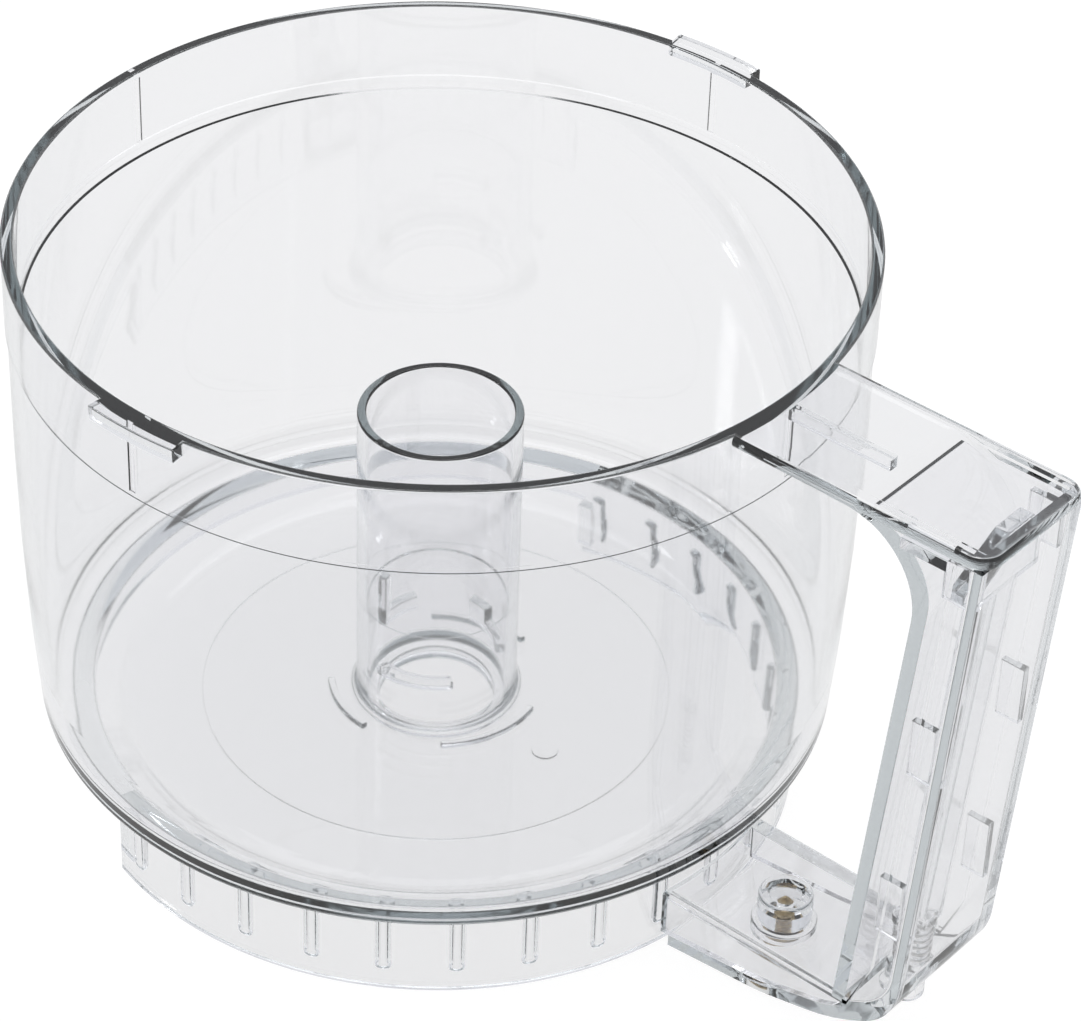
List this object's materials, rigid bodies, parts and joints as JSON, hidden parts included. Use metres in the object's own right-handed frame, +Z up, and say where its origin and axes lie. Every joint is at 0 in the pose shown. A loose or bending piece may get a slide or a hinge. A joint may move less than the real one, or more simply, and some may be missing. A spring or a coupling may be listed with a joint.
{
  "type": "food processor work bowl",
  "caption": "Clear work bowl of a small food processor: centre drive tube, part-round base skirt, rim lugs and a hollow side handle with a sprung interlock rod.",
  "frame": {"origin": "on the bowl's axis, in the plane of the skirt's bottom edge", "axes": "+Z up along the bowl's axis, +X from the axis towards the handle, +Y to the left of the handle seen from outside"},
  "size_m": [0.1653, 0.1294, 0.0962],
  "materials": {
    "clear_bowl": "clear rigid plastic, polished",
    "clear_cover": "clear rigid plastic, polished",
    "clear_rod": "clear plastic with a light moulded grain",
    "spring_steel": "drawn spring wire",
    "screw_steel": "plated self-tapping screw"
  },
  "bodies": {
    "bowl": {"bowl_wall": "clear_bowl", "bowl_floor": "clear_bowl", "base_skirt": "clear_bowl", "skirt_stops": "clear_bowl", "skirt_ribs": "clear_bowl", "drive_tube": "clear_bowl", "tube_seat": "clear_bowl", "tube_foot_ridges": "clear_bowl", "lid_lug_near": "clear_bowl", "lid_lug_far": "clear_bowl", "handle_upper_arm": "clear_bowl", "handle_inner_channel": "clear_bowl", "handle_lower_arm": "clear_bowl", "screw_boss": "clear_bowl", "handle_cover": "clear_cover", "cover_snap_tabs": "clear_cover", "return_spring": "spring_steel", "handle_screw": "screw_steel"},
    "rod": {"interlock_rod": "clear_rod"}
  },
  "joints": [
    {"name": "interlock_press", "type": "slide", "parent": "bowl", "child": "rod", "axis": [0, 0, -1], "range_m": [0, 0.003], "stiffness_N_per_m": 400, "springref_m": -0.001, "deforming": ["return_spring"]}
  ]
}
